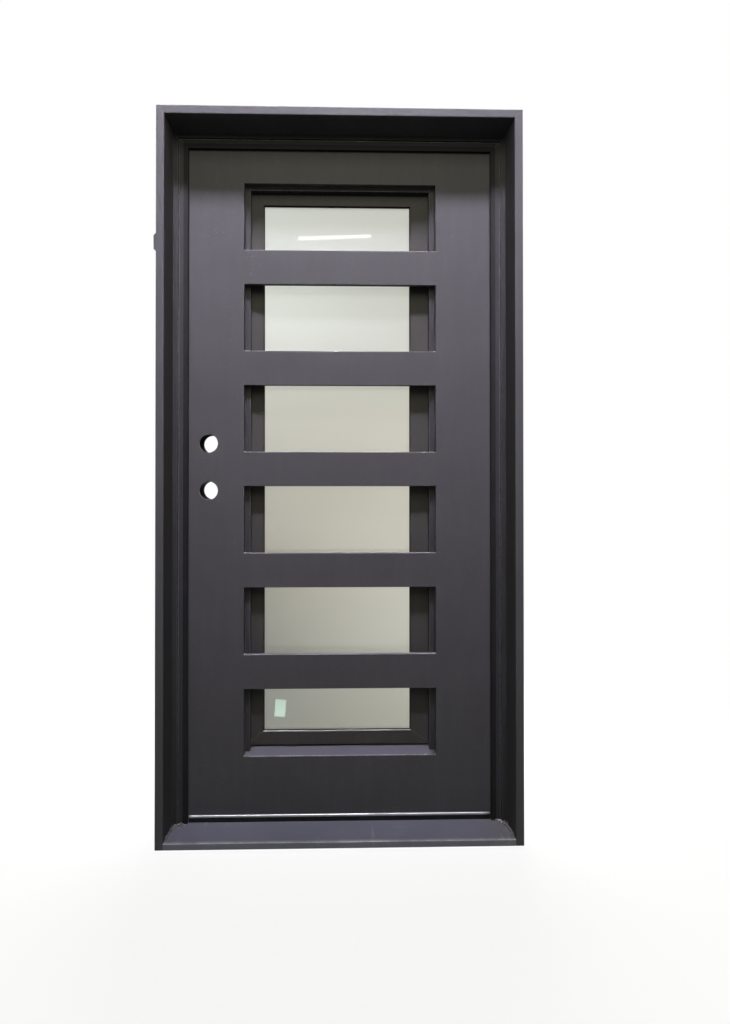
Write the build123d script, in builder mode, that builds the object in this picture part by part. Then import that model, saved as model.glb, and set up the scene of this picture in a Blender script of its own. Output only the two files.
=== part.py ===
from build123d import *
import os

# Iron entry door hung in its stepped steel frame, closed. Millimetres.
# X runs along the wall with the hinges at +X, Y runs from outdoors to indoors, Z is up.
# The origin is the middle of the frame's foot. Depths are measured back from the frame's outside face.

# Frame: one formed hollow section, mitred at the head.
frame_width = 1029.0
frame_height = 2070.0
frame_depth = 152.0
frame_face = 23.0
pocket_depth = 70.0
ledge_width = 14.0
ledge_drop = 4.0
frame_leg = 51.5
frame_wall = 2.5
edge_round = 1.5

# Stop strip welded behind the section's ledge, and the rubber seal pushed on its lip.
stop_thickness = 3.0
stop_lip = 10.5
stop_gap = 2.5
seal_start = 1.5
seal_nose = 5.0
seal_front = 2.0
seal_slack = 0.3
seal_room = 5.0
seal_round = 2.0

# Threshold tube between the jambs.
threshold_height = 17.0
threshold_wall = 3.0

# Anchor ears on the back of the frame.
ear_reach = 58.0
ear_height = 58.0
ear_thickness = 4.0
ear_seat = 30.0
ear_hole_radius = 4.0
ear_hole_spacing = 34.0
ear_corner = 8.0
side_ear_drop = 314.0
head_ear_place = 159.0
head_ear_width = 28.0
head_ear_hole_spacing = 32.0

# Leaf: hollow stiles and rails under one cut-out front skin.
leaf_gap = 4.0
leaf_lift = 13.0
skin_thickness = 2.0
skin_edge_break = 0.8
tube_wall = 2.0
opening_count = 6
stile_width = 174.0
bottom_rail_height = 178.0
top_rail_height = 108.5
bar_height = 102.0
bar_thickness = 10.0
sill_rise = 9.0

# Lock preparation in the lock stile: two cross bores and their edge bores.
backset = 70.0
lock_bore_radius = 27.0
lock_bore_spacing = 139.7
lock_bore_height = 993.0
edge_bore_radius = 12.7

# Sweep at the foot of the leaf.
sweep_lift = 1.5
sweep_height = 6.5
sweep_thickness = 4.0
sweep_round = 2.5
sweep_end_gap = 2.0
fin_thickness = 2.0
fin_grip = 3.0
fin_gap = 0.4

# Stops and gasket that the glazed sash closes on.
sash_stop_width = 16.0
sash_stop_top = 10.0
sash_stop_depth = 20.0
sash_stop_length = 15.5
sash_stop_wall = 1.5
gasket_width = 9.0
gasket_thickness = 2.2
gasket_inset = 3.0
gasket_slack = 0.3

# Glazed sash: four mitred members, one pane, four beads.
sash_gap = 4.0
sash_foot_gap = 6.0
sash_latch_width = 49.0
sash_hinge_width = 66.0
sash_rail_width = 41.0
sash_wall = 2.0
sash_lip = 8.0
sash_lip_depth = 6.0
pane_thickness = 8.0
pane_edge_gap = 2.0
bead_width = 6.0
foot_strip_inset = 6.0
foot_strip_thickness = 6.0
foot_strip_gap = 0.5

# Door hinges and sash hinges: two barrels on a loose pin.
knuckle_gap = 0.6
barrel_gap = 0.5
pin_slack = 0.05
pin_cap_share = 0.35
door_hinge_height = 114.0
door_barrel_radius = 9.0
door_pin_radius = 5.0
door_plate_width = 36.0
door_plate_thickness = 3.0
door_hinge_inset = 210.0
sash_hinge_height = 72.0
sash_barrel_radius = 6.0
sash_pin_radius = 3.0
sash_plate_width = 26.0
sash_plate_thickness = 2.5
sash_hinge_inset = 180.0

# Turn buttons that hold the sash shut, shown upright and so released.
button_inset = 14.0
button_length = 40.0
button_width = 14.0
button_thickness = 4.0
button_lift = 0.4
button_grip_height = 10.0
button_grip_thickness = 4.0
button_grip_share = 0.55
button_corner = 3.0
stud_radius = 3.0
stud_head_radius = 5.5
stud_head_height = 2.5
stud_head_sides = 6
button_end_inset = 420.0

# Places that follow from the sizes.
half_width = frame_width / 2
half_depth = frame_depth / 2
front = -half_depth
back = half_depth
side_ear_height = frame_height - side_ear_drop
reveal_depth = frame_depth - pocket_depth
ledge_depth = reveal_depth + ledge_drop
seat_depth = ledge_depth + stop_thickness
pocket_half = half_width - frame_leg
pocket_top = frame_height - frame_leg
seal_edge = frame_leg + stop_lip + seal_nose
leaf_front = front + seat_depth + seal_room
leaf_half = pocket_half - leaf_gap
leaf_foot = threshold_height + leaf_lift
leaf_top = pocket_top - leaf_gap
tube_front = leaf_front + skin_thickness
opening_half = leaf_half - stile_width
opening_width = 2 * opening_half
lattice_foot = leaf_foot + bottom_rail_height
lattice_top = leaf_top - top_rail_height
opening_pitch = (lattice_top - lattice_foot + bar_height) / opening_count
opening_height = opening_pitch - bar_height
sill_back = lattice_foot + sill_rise
sash_stop_front = leaf_front + sash_stop_depth
sash_stop_back = sash_stop_front + sash_stop_length
sash_front = sash_stop_back + gasket_thickness + gasket_slack
sash_half = opening_half - sash_gap
sash_foot = sill_back + sash_foot_gap
sash_top = lattice_top - sash_gap
sight_latch = -sash_half + sash_latch_width
sight_hinge = sash_half - sash_hinge_width
sight_foot = sash_foot + sash_rail_width
sight_top = sash_top - sash_rail_width
pane_front = sash_front + sash_lip_depth
bead_front = pane_front + pane_thickness
lock_bore_x = -leaf_half + backset
lock_bore_heights = [lock_bore_height, lock_bore_height + lock_bore_spacing]

os.makedirs("parts", exist_ok=True)


def save(part, name):
    part.label = name
    export_step(part, f"parts/{name}.step")


def beside(points):
    """Section points (in from the frame's edge, back from its face) laid out for the hinge jamb."""
    return [(half_width - inward, front + depth) for inward, depth in points]


def above(points):
    """The same section points laid out for the head, seen along X."""
    return [(front + depth, frame_height - inward) for inward, depth in points]


hinge_mitre = Plane(origin=(half_width, 0, frame_height), z_dir=(1, 0, -1))
lock_mitre = Plane(origin=(-half_width, 0, frame_height), z_dir=(-1, 0, -1))

# Frame section: outside face, reveal wall, narrow ledge, seat of the stop strip, pocket of the leaf.
section = [
    (0, 0),
    (frame_face, 0),
    (frame_face, reveal_depth),
    (frame_face + ledge_width, reveal_depth),
    (frame_face + ledge_width, seat_depth),
    (frame_leg, seat_depth),
    (frame_leg, frame_depth),
    (0, frame_depth),
]

with BuildPart() as hinge_jamb:
    with BuildSketch() as jamb_section:
        with BuildLine():
            Polyline(*beside(section), close=True)
        make_face()
        fillet(jamb_section.vertices().group_by(Axis.Y)[0], edge_round)
        offset(amount=-frame_wall, kind=Kind.INTERSECTION, mode=Mode.SUBTRACT)
    extrude(amount=frame_height)
    split(bisect_by=hinge_mitre, keep=Keep.TOP)
save(hinge_jamb.part, "hinge_jamb")

with BuildPart() as lock_jamb:
    mirror(hinge_jamb.part, about=Plane.YZ)
    # Strike holes for the two bolts, through the pocket wall only.
    with BuildSketch(Plane.YZ.offset(-pocket_half)):
        with Locations(*[((tube_front + back) / 2, height) for height in lock_bore_heights]):
            Circle(edge_bore_radius)
    extrude(amount=-frame_wall, mode=Mode.SUBTRACT)
save(lock_jamb.part, "lock_jamb")

with BuildPart() as head:
    with BuildSketch(Plane.YZ.offset(-half_width)) as head_section:
        with BuildLine():
            Polyline(*above(section), close=True)
        make_face()
        fillet(head_section.vertices().group_by(Axis.X)[0], edge_round)
        offset(amount=-frame_wall, kind=Kind.INTERSECTION, mode=Mode.SUBTRACT)
    extrude(amount=frame_width)
    split(bisect_by=hinge_mitre, keep=Keep.BOTTOM)
    split(bisect_by=lock_mitre, keep=Keep.BOTTOM)
save(head.part, "head")

# Threshold: a flat tube, coped around the stepped jambs.
threshold_half_plan = [
    (half_width - inward, front + depth)
    for inward, depth in section[1:7]
]
with BuildPart() as threshold:
    with BuildSketch():
        with BuildLine():
            Polyline(
                *threshold_half_plan,
                *[(-x, y) for x, y in reversed(threshold_half_plan)],
                close=True,
            )
        make_face()
    extrude(amount=threshold_height)
    fillet(threshold.edges().filter_by(Axis.X).group_by(Axis.Z)[-1].sort_by(Axis.Y)[0], edge_round)
    with BuildSketch(Plane.YZ):
        with Locations((0, threshold_height / 2)):
            Rectangle(frame_depth - 2 * threshold_wall, threshold_height - 2 * threshold_wall)
    extrude(amount=half_width, both=True, mode=Mode.SUBTRACT)
save(threshold.part, "threshold")

# Stop strips: flat bars seated behind the ledge with a narrow groove beside it, their lip past the pocket wall.
stop_inner = frame_leg + stop_lip
stop_outer = frame_face + ledge_width + stop_gap
stop_section = [
    (stop_outer, ledge_depth),
    (stop_inner, ledge_depth),
    (stop_inner, seat_depth),
    (stop_outer, seat_depth),
]

with BuildPart() as hinge_stop:
    with BuildSketch(Plane.XY.offset(threshold_height)):
        with BuildLine():
            Polyline(*beside(stop_section), close=True)
        make_face()
    extrude(amount=frame_height - threshold_height)
    split(bisect_by=hinge_mitre, keep=Keep.TOP)
save(hinge_stop.part, "hinge_stop")

with BuildPart() as lock_stop:
    mirror(hinge_stop.part, about=Plane.YZ)
save(lock_stop.part, "lock_stop")

with BuildPart() as head_stop:
    with BuildSketch(Plane.YZ.offset(-half_width)):
        with BuildLine():
            Polyline(*above(stop_section), close=True)
        make_face()
    extrude(amount=frame_width)
    split(bisect_by=hinge_mitre, keep=Keep.BOTTOM)
    split(bisect_by=lock_mitre, keep=Keep.BOTTOM)
save(head_stop.part, "head_stop")

# Push-on rubber seals: a slotted grip over the stop's lip and a rounded nose that the leaf meets.
seal_outline = [
    (frame_leg + seal_start, ledge_depth - seal_front),
    (seal_edge, ledge_depth - seal_front),
    (seal_edge, seat_depth + seal_room - seal_slack),
    (frame_leg + seal_start, seat_depth + seal_room - seal_slack),
]
seal_slot = [
    (frame_leg + seal_start, ledge_depth - seal_slack),
    (stop_inner + seal_slack, ledge_depth - seal_slack),
    (stop_inner + seal_slack, seat_depth + seal_slack),
    (frame_leg + seal_start, seat_depth + seal_slack),
]

with BuildPart() as hinge_seal:
    with BuildSketch(Plane.XY.offset(threshold_height)) as seal_profile:
        with BuildLine():
            Polyline(*beside(seal_outline), close=True)
        make_face()
        fillet(seal_profile.vertices().group_by(Axis.X)[0], seal_round)
        with BuildLine():
            Polyline(*beside(seal_slot), close=True)
        make_face(mode=Mode.SUBTRACT)
    extrude(amount=frame_height - threshold_height)
    split(bisect_by=hinge_mitre, keep=Keep.TOP)
save(hinge_seal.part, "hinge_seal")

with BuildPart() as lock_seal:
    mirror(hinge_seal.part, about=Plane.YZ)
save(lock_seal.part, "lock_seal")

with BuildPart() as head_seal:
    with BuildSketch(Plane.YZ.offset(-half_width)) as head_seal_profile:
        with BuildLine():
            Polyline(*above(seal_outline), close=True)
        make_face()
        fillet(head_seal_profile.vertices().group_by(Axis.Y)[0], seal_round)
        with BuildLine():
            Polyline(*above(seal_slot), close=True)
        make_face(mode=Mode.SUBTRACT)
    extrude(amount=frame_width)
    split(bisect_by=hinge_mitre, keep=Keep.BOTTOM)
    split(bisect_by=lock_mitre, keep=Keep.BOTTOM)
save(head_seal.part, "head_seal")

# Anchor ears: flat straps on the back of the frame, drilled for the wall screws.
with BuildPart() as side_anchor_ear:
    with BuildSketch(Plane.XZ.offset(-back)):
        with Locations((-half_width + (ear_seat - ear_reach) / 2, side_ear_height)):
            side_strap = Rectangle(ear_seat + ear_reach, ear_height)
        chamfer(side_strap.vertices(), ear_corner)
        with Locations((-half_width - ear_reach / 2, side_ear_height)):
            with GridLocations(0, ear_hole_spacing, 1, 2):
                Circle(ear_hole_radius, mode=Mode.SUBTRACT)
    extrude(amount=-ear_thickness)
save(side_anchor_ear.part, "side_anchor_ear")

with BuildPart() as head_anchor_ear:
    with BuildSketch(Plane.XZ.offset(-back)):
        with Locations((head_ear_place, frame_height + (ear_reach - ear_seat) / 2)):
            head_strap = Rectangle(head_ear_width, ear_seat + ear_reach)
        chamfer(head_strap.vertices(), ear_corner)
        with Locations((head_ear_place, frame_height + ear_reach / 2)):
            with GridLocations(0, head_ear_hole_spacing, 1, 2):
                Circle(ear_hole_radius, mode=Mode.SUBTRACT)
    extrude(amount=-ear_thickness)
save(head_anchor_ear.part, "head_anchor_ear")

# Leaf skin: one sheet over the whole front, with the openings and lock bores cut out of it.
leaf_middle = (leaf_foot + leaf_top) / 2
opening_heights = [
    lattice_foot + index * opening_pitch + opening_height / 2
    for index in range(opening_count)
]
with BuildPart() as leaf_skin:
    with BuildSketch(Plane.XZ.offset(-leaf_front)):
        with Locations((0, leaf_middle)):
            Rectangle(2 * leaf_half, leaf_top - leaf_foot)
        with Locations(*[(0, height) for height in opening_heights]):
            Rectangle(opening_width, opening_height, mode=Mode.SUBTRACT)
        with Locations(*[(lock_bore_x, height) for height in lock_bore_heights]):
            Circle(lock_bore_radius, mode=Mode.SUBTRACT)
    extrude(amount=-skin_thickness)
    front_edges = leaf_skin.faces().sort_by(Axis.Y)[0].edges()
    chamfer(front_edges.filter_by(GeomType.LINE), min(skin_edge_break, skin_thickness / 2))
save(leaf_skin.part, "leaf_skin")

# Leaf stiles: hollow tubes, closed at the head and open underneath.
stile_centre = (leaf_half + opening_half) / 2
tube_depth = back - tube_front
tube_middle = (tube_front + back) / 2
with BuildPart() as hinge_stile:
    with BuildSketch(Plane.XY.offset(leaf_foot)):
        with Locations((stile_centre, tube_middle)):
            Rectangle(stile_width, tube_depth)
    extrude(amount=leaf_top - leaf_foot)
    with BuildSketch(Plane.XY.offset(leaf_foot)):
        with Locations((stile_centre, tube_middle)):
            Rectangle(stile_width - 2 * tube_wall, tube_depth - 2 * tube_wall)
    extrude(amount=leaf_top - leaf_foot - tube_wall, mode=Mode.SUBTRACT)
save(hinge_stile.part, "hinge_stile")

with BuildPart() as lock_stile:
    mirror(hinge_stile.part, about=Plane.YZ)
    with BuildSketch(Plane.XZ.offset(-tube_front)):
        with Locations(*[(lock_bore_x, height) for height in lock_bore_heights]):
            Circle(lock_bore_radius)
    extrude(amount=-tube_depth, mode=Mode.SUBTRACT)
    with BuildSketch(Plane.YZ.offset(-leaf_half)):
        with Locations(*[(tube_middle, height) for height in lock_bore_heights]):
            Circle(edge_bore_radius)
    extrude(amount=tube_wall, mode=Mode.SUBTRACT)
save(lock_stile.part, "lock_stile")

# Leaf rails between the stiles. The bottom rail's top slopes down to the outside to shed water.
with BuildPart() as top_rail:
    with BuildSketch(Plane.YZ.offset(-opening_half)):
        with Locations((tube_middle, (lattice_top + leaf_top) / 2)):
            Rectangle(tube_depth, leaf_top - lattice_top)
        offset(amount=-tube_wall, kind=Kind.INTERSECTION, mode=Mode.SUBTRACT)
    extrude(amount=opening_width)
save(top_rail.part, "top_rail")

with BuildPart() as bottom_rail:
    with BuildSketch(Plane.YZ.offset(-opening_half)):
        with BuildLine():
            Polyline(
                (tube_front, leaf_foot),
                (back, leaf_foot),
                (back, sill_back),
                (sash_front, sill_back),
                (tube_front, lattice_foot),
                close=True,
            )
        make_face()
        offset(amount=-tube_wall, kind=Kind.INTERSECTION, mode=Mode.SUBTRACT)
    extrude(amount=opening_width)
save(bottom_rail.part, "bottom_rail")

# Cross bars behind the skin, between the stiles.
for index in range(opening_count - 1):
    bar_foot = lattice_foot + (index + 1) * opening_pitch - bar_height
    with BuildPart() as cross_bar:
        with BuildSketch(Plane.XZ.offset(-tube_front)):
            with Locations((0, bar_foot + bar_height / 2)):
                Rectangle(opening_width, bar_height)
        extrude(amount=-bar_thickness)
    save(cross_bar.part, f"cross_bar_{index + 1}")

# Sweep: a round-topped carrier across the leaf's foot, holding a rubber fin that meets the threshold.
sweep_half = half_width - seal_edge - sweep_end_gap
sweep_front = leaf_front - sweep_thickness
sweep_foot = leaf_foot + sweep_lift
fin_front = sweep_front + (sweep_thickness - fin_thickness) / 2
with BuildPart() as sweep_carrier:
    with BuildSketch(Plane.YZ.offset(-sweep_half)) as sweep_profile:
        with Locations((leaf_front - sweep_thickness / 2, sweep_foot + sweep_height / 2)):
            Rectangle(sweep_thickness, sweep_height)
        fillet(sweep_profile.vertices().group_by(Axis.Y)[-1].sort_by(Axis.X)[0], sweep_round)
        with Locations((fin_front + fin_thickness / 2, sweep_foot + fin_grip / 2)):
            Rectangle(fin_thickness, fin_grip, mode=Mode.SUBTRACT)
    extrude(amount=2 * sweep_half)
save(sweep_carrier.part, "sweep_carrier")

fin_foot = threshold_height + fin_gap
with BuildPart() as sweep_fin:
    with BuildSketch(Plane.YZ.offset(-sweep_half)):
        with Locations((fin_front + fin_thickness / 2, (fin_foot + sweep_foot + fin_grip) / 2)):
            Rectangle(fin_thickness, sweep_foot + fin_grip - fin_foot)
    extrude(amount=2 * sweep_half)
save(sweep_fin.part, "sweep_fin")

# Sash stops: thin tubes lining the sides and the head of the lattice, with a gasket on their backs.
sill_slope = Plane(
    origin=(0, tube_front, lattice_foot),
    z_dir=(0, -sill_rise, sash_front - tube_front),
)
side_stop_middle = opening_half - sash_stop_width / 2
stop_middle = sash_stop_front + sash_stop_length / 2
with BuildPart() as hinge_sash_stop:
    with BuildSketch(Plane.XY.offset(lattice_foot)):
        with Locations((side_stop_middle, stop_middle)):
            Rectangle(sash_stop_width, sash_stop_length)
        offset(amount=-sash_stop_wall, kind=Kind.INTERSECTION, mode=Mode.SUBTRACT)
    extrude(amount=lattice_top - lattice_foot)
    split(bisect_by=sill_slope, keep=Keep.TOP)
save(hinge_sash_stop.part, "hinge_sash_stop")

with BuildPart() as lock_sash_stop:
    mirror(hinge_sash_stop.part, about=Plane.YZ)
save(lock_sash_stop.part, "lock_sash_stop")

with BuildPart() as top_sash_stop:
    with BuildSketch(Plane.YZ.offset(sash_stop_width - opening_half)):
        with Locations((stop_middle, lattice_top - sash_stop_top / 2)):
            Rectangle(sash_stop_length, sash_stop_top)
        offset(amount=-sash_stop_wall, kind=Kind.INTERSECTION, mode=Mode.SUBTRACT)
    extrude(amount=opening_width - 2 * sash_stop_width)
save(top_sash_stop.part, "top_sash_stop")

gasket_half = opening_half - sash_stop_width + gasket_inset + gasket_width
gasket_top = lattice_top - sash_stop_top + gasket_width - gasket_inset
with BuildPart() as sash_gasket:
    with BuildSketch(Plane.XZ.offset(-sash_stop_back)):
        with BuildLine():
            Polyline(
                (-gasket_half, sash_foot),
                (-gasket_half, gasket_top),
                (gasket_half, gasket_top),
                (gasket_half, sash_foot),
                (gasket_half - gasket_width, sash_foot),
                (gasket_half - gasket_width, gasket_top - gasket_width),
                (gasket_width - gasket_half, gasket_top - gasket_width),
                (gasket_width - gasket_half, sash_foot),
                close=True,
            )
        make_face()
    extrude(amount=-gasket_thickness)
save(sash_gasket.part, "sash_gasket")


# Sash members: a hollow tube with a thin lip in front of the pane, cut to the corner's mitre.
def member_section(outer, sight, inward):
    """Section points across a member: outer edge, sight line, and the way in towards the pane."""
    rebate = sight - inward * sash_lip
    return [
        (outer, sash_front),
        (sight, sash_front),
        (sight, pane_front),
        (rebate, pane_front),
        (rebate, back),
        (outer, back),
    ]


def member_hollow(outer, sight, inward):
    """The void of the member's tube."""
    rebate = sight - inward * sash_lip
    return [
        (outer + inward * sash_wall, sash_front + sash_wall),
        (rebate - inward * sash_wall, sash_front + sash_wall),
        (rebate - inward * sash_wall, back - sash_wall),
        (outer + inward * sash_wall, back - sash_wall),
    ]


def corner_mitre(outer_x, outer_z, sight_x, sight_z):
    """Plane through a sash corner, from its outer edge to its sight line, facing the rail."""
    toward_rail = 1 if outer_z < sight_z else -1
    run = (sight_x - outer_x, 0, sight_z - outer_z)
    normal = Vector(0, 1, 0).cross(Vector(*run))
    if normal.Z * toward_rail > 0:
        normal = normal * -1
    return Plane(origin=(outer_x, 0, outer_z), z_dir=normal)


sash_corners = {
    "latch_foot": corner_mitre(-sash_half, sash_foot, sight_latch, sight_foot),
    "latch_top": corner_mitre(-sash_half, sash_top, sight_latch, sight_top),
    "hinge_foot": corner_mitre(sash_half, sash_foot, sight_hinge, sight_foot),
    "hinge_top": corner_mitre(sash_half, sash_top, sight_hinge, sight_top),
}

sash_stiles = {
    "latch": (-sash_half, sight_latch, 1),
    "hinge": (sash_half, sight_hinge, -1),
}
for side, (outer, sight, inward) in sash_stiles.items():
    with BuildPart() as sash_stile:
        with BuildSketch(Plane.XY.offset(sash_foot)):
            with BuildLine():
                Polyline(*member_section(outer, sight, inward), close=True)
            make_face()
            with BuildLine():
                Polyline(*member_hollow(outer, sight, inward), close=True)
            make_face(mode=Mode.SUBTRACT)
        extrude(amount=sash_top - sash_foot)
        split(bisect_by=sash_corners[f"{side}_foot"], keep=Keep.BOTTOM)
        split(bisect_by=sash_corners[f"{side}_top"], keep=Keep.BOTTOM)
    save(sash_stile.part, f"sash_{side}_stile")

sash_rails = {
    "foot": (sash_foot, sight_foot, 1),
    "top": (sash_top, sight_top, -1),
}
for end, (outer, sight, inward) in sash_rails.items():
    with BuildPart() as sash_rail:
        with BuildSketch(Plane.YZ.offset(-sash_half)):
            with BuildLine():
                Polyline(*[(y, z) for z, y in member_section(outer, sight, inward)], close=True)
            make_face()
            with BuildLine():
                Polyline(*[(y, z) for z, y in member_hollow(outer, sight, inward)], close=True)
            make_face(mode=Mode.SUBTRACT)
        extrude(amount=2 * sash_half)
        split(bisect_by=sash_corners[f"latch_{end}"], keep=Keep.TOP)
        split(bisect_by=sash_corners[f"hinge_{end}"], keep=Keep.TOP)
    save(sash_rail.part, f"sash_{end}_rail")

# Pane of obscure glass, set behind the lip with a little room round its edge.
pane_over = sash_lip - pane_edge_gap
pane_centre = ((sight_latch + sight_hinge) / 2, (sight_foot + sight_top) / 2)
pane_width = sight_hinge - sight_latch + 2 * pane_over
pane_height = sight_top - sight_foot + 2 * pane_over
with BuildPart() as pane:
    with BuildSketch(Plane.XZ.offset(-pane_front)):
        with Locations(pane_centre):
            Rectangle(pane_width, pane_height)
    extrude(amount=-pane_thickness)
save(pane.part, "pane")

# Glazing beads on the room side: the level pair runs the full width, the upright pair fits between.
rebate_width = pane_width + 2 * pane_edge_gap
rebate_height = pane_height + 2 * pane_edge_gap
beads = {
    "foot_bead": (0, bead_width / 2 - rebate_height / 2, rebate_width, bead_width),
    "top_bead": (0, rebate_height / 2 - bead_width / 2, rebate_width, bead_width),
    "latch_bead": (bead_width / 2 - rebate_width / 2, 0, bead_width, rebate_height - 2 * bead_width),
    "hinge_bead": (rebate_width / 2 - bead_width / 2, 0, bead_width, rebate_height - 2 * bead_width),
}
for name, (along, up, width, height) in beads.items():
    with BuildPart() as bead:
        with BuildSketch(Plane.XZ.offset(-bead_front)):
            with Locations((pane_centre[0] + along, pane_centre[1] + up)):
                Rectangle(width, height)
        extrude(amount=bead_front - back)
    save(bead.part, name)

# Rubber strip under the sash, closing most of the gap over the sill.
with BuildPart() as sash_foot_strip:
    with BuildSketch(Plane.YZ.offset(-sash_half)):
        with Locations((
            sash_front + foot_strip_inset + foot_strip_thickness / 2,
            (sill_back + foot_strip_gap + sash_foot) / 2,
        )):
            Rectangle(foot_strip_thickness, sash_foot - sill_back - foot_strip_gap)
    extrude(amount=2 * sash_half)
save(sash_foot_strip.part, "sash_foot_strip")


# Lift-off hinges: a fixed plate with the lower barrel, a moving plate with the capped upper one, and a pin.
def hinge_half(axis_x, foot, side, height, barrel, pin, plate_width, plate_thickness):
    """One plate with its barrel on the room side: the lower, fixed one at +1, the upper, moving one at -1."""
    axis_y = back + barrel + barrel_gap
    middle = foot + height / 2
    reach = barrel + knuckle_gap
    low = foot if side > 0 else middle + knuckle_gap / 2
    high = middle - knuckle_gap / 2 if side > 0 else foot + height
    bore_top = high if side > 0 else high - barrel * pin_cap_share
    with BuildPart() as half:
        with BuildSketch(Plane.XY.offset(foot)):
            with Locations((axis_x + side * (reach + plate_width / 2), back + plate_thickness / 2)):
                Rectangle(plate_width, plate_thickness)
        extrude(amount=height)
        with BuildSketch(Plane.XY.offset(low)):
            with Locations((axis_x, axis_y)):
                Circle(barrel)
            with Locations((axis_x + side * reach / 2, back + plate_thickness / 2)):
                Rectangle(reach, plate_thickness)
        extrude(amount=high - low)
        with BuildSketch(Plane.XY.offset(low)):
            with Locations((axis_x, axis_y)):
                Circle(pin + pin_slack)
        extrude(amount=bore_top - low, mode=Mode.SUBTRACT)
    return half.part


def hinge_pin(axis_x, foot, height, barrel, pin):
    """A plain pin from the foot of the lower barrel to just under the cap of the upper one."""
    length = height - barrel * pin_cap_share - barrel_gap
    with BuildPart() as plain_pin:
        with BuildSketch(Plane.XY.offset(foot)):
            with Locations((axis_x, back + barrel + barrel_gap)):
                Circle(pin)
        extrude(amount=length)
    return plain_pin.part


door_axis_x = (pocket_half + leaf_half) / 2
door_hinge_feet = {
    "lower": leaf_foot + door_hinge_inset,
    "middle": (leaf_foot + leaf_top - door_hinge_height) / 2,
    "upper": leaf_top - door_hinge_inset - door_hinge_height,
}
door_hinge = (door_hinge_height, door_barrel_radius, door_pin_radius, door_plate_width, door_plate_thickness)
for place, foot in door_hinge_feet.items():
    save(hinge_half(door_axis_x, foot, 1, *door_hinge), f"{place}_hinge_frame_plate")
    save(hinge_half(door_axis_x, foot, -1, *door_hinge), f"{place}_hinge_leaf_plate")
    save(hinge_pin(door_axis_x, foot, *door_hinge[:3]), f"{place}_hinge_pin")

sash_axis_x = (opening_half + sash_half) / 2
sash_hinge_feet = {
    "lower": sash_foot + sash_hinge_inset,
    "middle": (sash_foot + sash_top - sash_hinge_height) / 2,
    "upper": sash_top - sash_hinge_inset - sash_hinge_height,
}
sash_hinge = (sash_hinge_height, sash_barrel_radius, sash_pin_radius, sash_plate_width, sash_plate_thickness)
for place, foot in sash_hinge_feet.items():
    save(hinge_half(sash_axis_x, foot, 1, *sash_hinge), f"{place}_sash_hinge_leaf_plate")
    save(hinge_half(sash_axis_x, foot, -1, *sash_hinge), f"{place}_sash_hinge_sash_plate")

sash_pin_list = [hinge_pin(sash_axis_x, foot, *sash_hinge[:3]) for foot in sash_hinge_feet.values()]
with BuildPart() as sash_hinge_pins:
    add(sash_pin_list)
save(sash_hinge_pins.part, "sash_hinge_pins")

# Turn buttons on the lock stile, each on its own headed stud.
button_x = -opening_half - button_inset
button_heights = {
    "lower": sash_foot + button_end_inset,
    "upper": sash_top - button_end_inset,
}
for place, height in button_heights.items():
    with BuildPart() as turn_button:
        with BuildSketch(Plane.XZ.offset(-back - button_lift)):
            with Locations((button_x, height + button_length / 2)):
                button_plate = Rectangle(button_width, button_length + button_width)
            chamfer(button_plate.vertices(), button_corner)
            with Locations((button_x, height)):
                Circle(stud_radius + pin_slack, mode=Mode.SUBTRACT)
        extrude(amount=-button_thickness)
        with BuildSketch(Plane.XZ.offset(-back - button_lift - button_thickness)):
            with Locations((button_x, height + button_length / 2)):
                Rectangle(button_grip_thickness, button_length * button_grip_share)
        extrude(amount=-button_grip_height)
    save(turn_button.part, f"{place}_turn_button")

    stud_length = 2 * button_lift + button_thickness
    with BuildPart() as stud:
        with BuildSketch(Plane.XZ.offset(-back)):
            with Locations((button_x, height)):
                Circle(stud_radius)
        extrude(amount=-stud_length)
        with BuildSketch(Plane.XZ.offset(-back - stud_length)):
            with Locations((button_x, height)):
                RegularPolygon(stud_head_radius, stud_head_sides)
        extrude(amount=-stud_head_height)
    save(stud.part, f"{place}_turn_button_stud")
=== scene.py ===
import math
import random

import bmesh
import bpy
from mathutils import Matrix, Vector


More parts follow.
